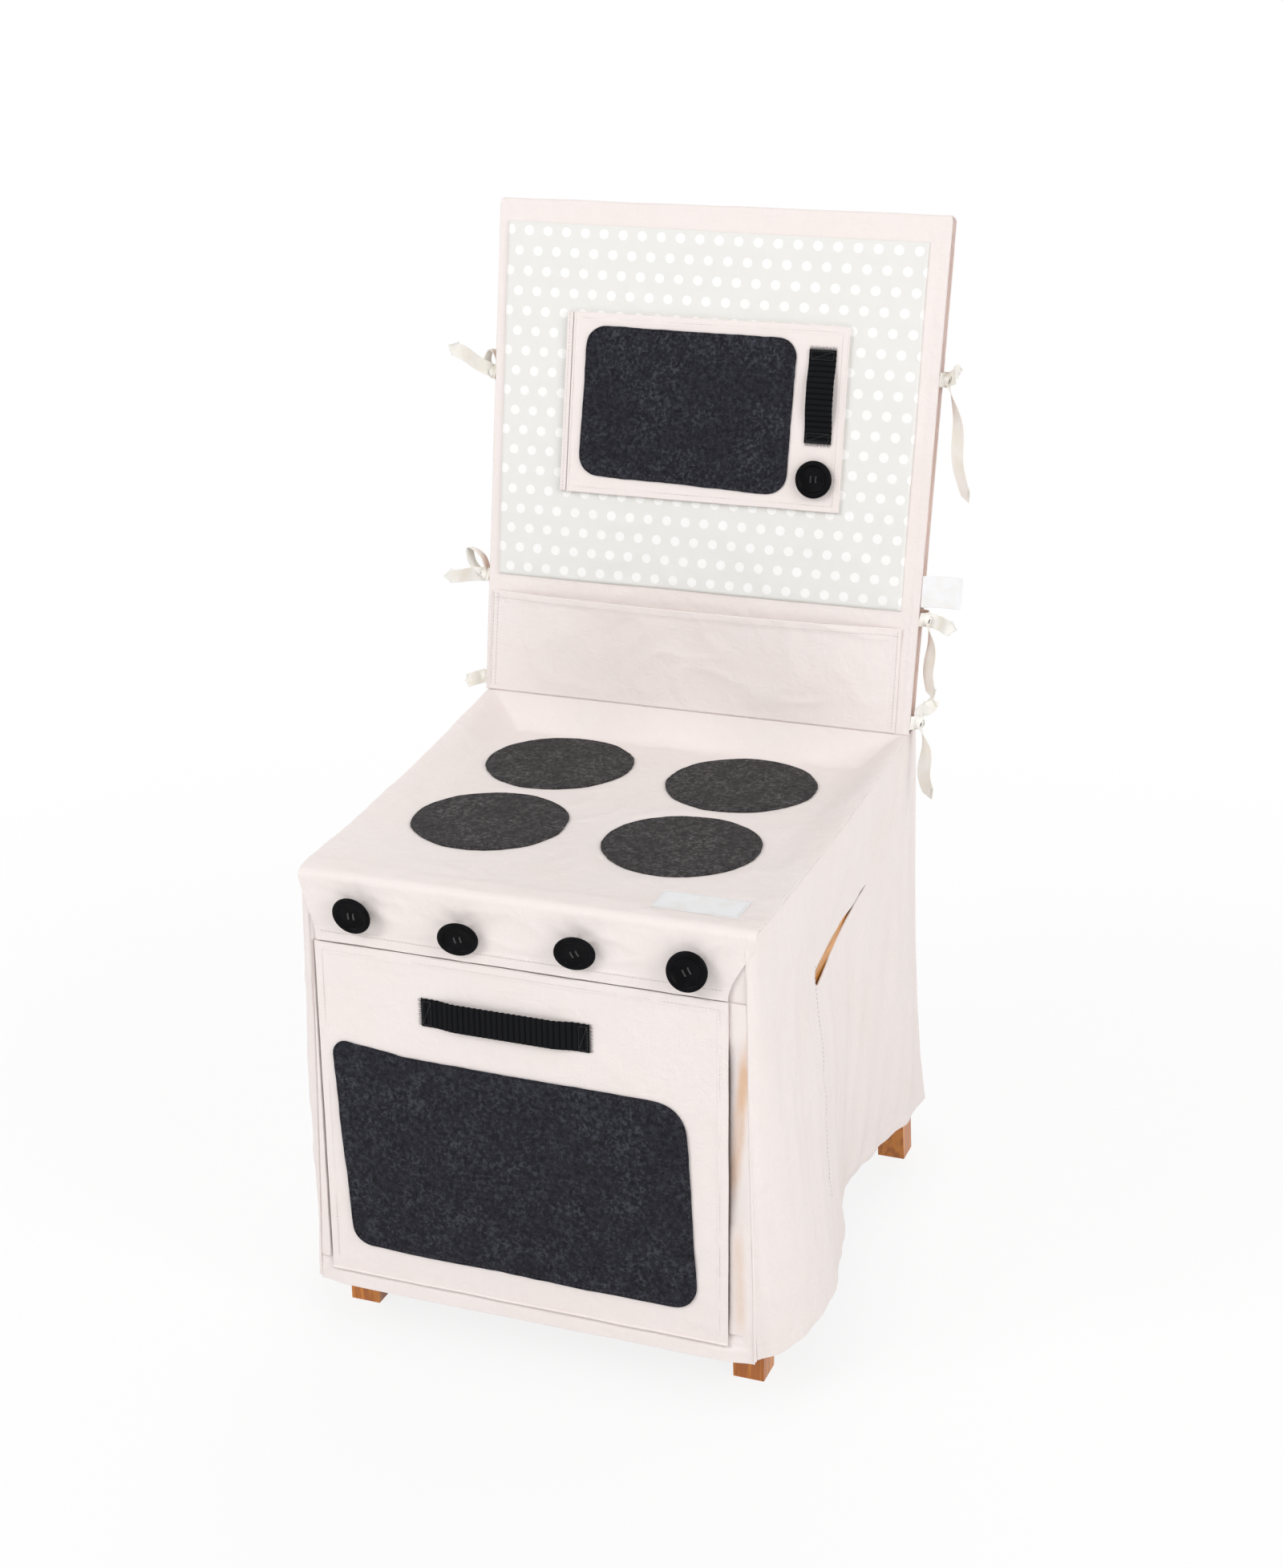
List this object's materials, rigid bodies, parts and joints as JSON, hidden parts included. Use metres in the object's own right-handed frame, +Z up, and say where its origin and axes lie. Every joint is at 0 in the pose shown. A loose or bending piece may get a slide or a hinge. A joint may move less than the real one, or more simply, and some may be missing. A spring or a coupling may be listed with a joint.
{
  "type": "toy oven",
  "caption": "Play cooker sewn as a fabric cover over a wooden chair, with a felt oven door in a gusseted pocket, a microwave door, burners and turning buttons",
  "frame": {"origin": "middle of the bounding box, on the floor", "axes": "+Z up, -Y the side with the oven door, +X to the viewer's right"},
  "size_m": [0.5295, 0.5639, 0.9698],
  "materials": {
    "canvas": "plain cotton canvas",
    "window_felt": "charcoal felt",
    "burner_felt": "dark grey felt",
    "webbing": "ribbed webbing",
    "button_black": "gloss",
    "thread": "matt thread",
    "wood": "satin varnish",
    "ribbon": "satin ribbon",
    "dotted_canvas": "canvas with white dots",
    "tape": "hook and loop tape",
    "label": "woven tape",
    "screw_steel": "satin"
  },
  "bodies": {
    "root": {"seat_board": "wood", "front_leg_left": "wood", "front_leg_right": "wood", "rear_post_left": "wood", "rear_post_right": "wood", "front_rail": "wood", "rear_rail": "wood", "side_rail_left": "wood", "side_rail_right": "wood", "corner_blocks": "wood", "top_rail": "wood", "lower_back_rail": "wood", "back_slats": "wood", "seat_screws": "screw_steel", "hob_panel": "canvas", "control_fascia": "canvas", "front_skirt": "canvas", "side_skirt_left": "canvas", "side_skirt_right": "canvas", "rear_skirt": "canvas", "back_cover_front": "canvas", "back_cover_top": "canvas", "back_cover_rear": "canvas", "utensil_pocket": "canvas", "microwave_base": "canvas", "gusset_left": "canvas", "gusset_right": "canvas", "backsplash_panel": "dotted_canvas", "hob_label": "label", "side_tag": "label", "burner_front_left": "burner_felt", "burner_front_right": "burner_felt", "burner_rear_left": "burner_felt", "burner_rear_right": "burner_felt", "closure_hook_tape": "tape", "tie_left_upper": "ribbon", "tie_left_middle": "ribbon", "tie_left_lower": "ribbon", "tie_right_upper": "ribbon", "tie_right_middle": "ribbon", "tie_right_lower": "ribbon"},
    "oven_door": {"oven_door": "canvas", "oven_window": "window_felt", "oven_handle": "webbing", "closure_loop_tape": "tape"},
    "microwave_door": {"microwave_door": "canvas", "microwave_window": "window_felt", "microwave_handle": "webbing"},
    "microwave_button": {"microwave_button": "button_black", "microwave_button_thread": "thread"},
    "knob_1": {"knob_1": "button_black", "knob_thread_1": "thread"},
    "knob_2": {"knob_2": "button_black", "knob_thread_2": "thread"},
    "knob_3": {"knob_3": "button_black", "knob_thread_3": "thread"},
    "knob_4": {"knob_4": "button_black", "knob_thread_4": "thread"}
  },
  "joints": [
    {"name": "oven_door_hinge", "type": "hinge", "parent": "root", "child": "oven_door", "pos_m": [0, -0.2659, 0.0625], "axis": [1, 0, 0], "range_deg": [0, 30], "deforming": ["gusset_left", "gusset_right"]},
    {"name": "microwave_door_hinge", "type": "hinge", "parent": "root", "child": "microwave_door", "pos_m": [-0.1395, 0.15563, 0.49008], "axis": [0, -0.1736, -0.9848], "range_deg": [0, 165]},
    {"name": "knob_1_turn", "type": "hinge", "parent": "root", "child": "knob_1", "pos_m": [-0.1545, -0.264, 0.427], "axis": [0, -0.9781, -0.2079], "range_deg": [-40, 40], "stiffness_Nm_per_rad": 0.002},
    {"name": "knob_2_turn", "type": "hinge", "parent": "root", "child": "knob_2", "pos_m": [-0.056, -0.264, 0.421], "axis": [0.1966, -0.9249, -0.3256], "range_deg": [-40, 40], "stiffness_Nm_per_rad": 0.002},
    {"name": "knob_3_turn", "type": "hinge", "parent": "root", "child": "knob_3", "pos_m": [0.052, -0.264, 0.424], "axis": [0.1966, -0.9249, -0.3256], "range_deg": [-40, 40], "stiffness_Nm_per_rad": 0.002},
    {"name": "knob_4_turn", "type": "hinge", "parent": "root", "child": "knob_4", "pos_m": [0.154, -0.264, 0.418], "axis": [0.0867, -0.9907, 0.1045], "range_deg": [-40, 40], "stiffness_Nm_per_rad": 0.002},
    {"name": "microwave_button_turn", "type": "hinge", "parent": "microwave_door", "child": "microwave_button", "pos_m": [0.114, 0.19687, 0.72397], "axis": [0, -0.9848, 0.1736], "range_deg": [-40, 40], "stiffness_Nm_per_rad": 0.002}
  ]
}
